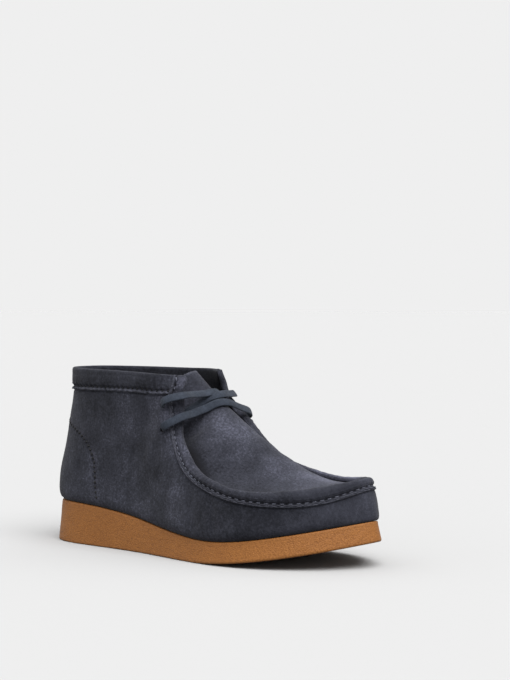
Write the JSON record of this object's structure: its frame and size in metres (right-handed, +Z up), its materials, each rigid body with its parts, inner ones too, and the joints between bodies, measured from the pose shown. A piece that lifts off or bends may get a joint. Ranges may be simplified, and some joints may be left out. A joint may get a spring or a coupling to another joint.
{
  "type": "moccasin boot",
  "caption": "A right moccasin ankle boot: dark blue-grey suede upper, moccasin apron running up into the tongue, flat lace through two holes a side, and a caramel crepe wedge sole.",
  "frame": {"origin": "On the floor under the middle of the sole, halfway from heel to toe and between the widest points of the sole.", "axes": "+X to the toe, +Y to the inner (medial) side of this right boot, +Z up; the tread lies on z = 0."},
  "size_m": [0.298, 0.1099, 0.1394],
  "materials": {
    "crepe_rubber": "matt",
    "suede": "napped",
    "insole_leather": "smooth",
    "woven_lace": "woven"
  },
  "bodies": {
    "root": {"outsole": "crepe_rubber", "upper": "suede", "apron_tongue": "suede", "insole": "insole_leather", "lace_bar": "woven_lace", "lace_crossing": "woven_lace"}
  },
  "joints": []
}
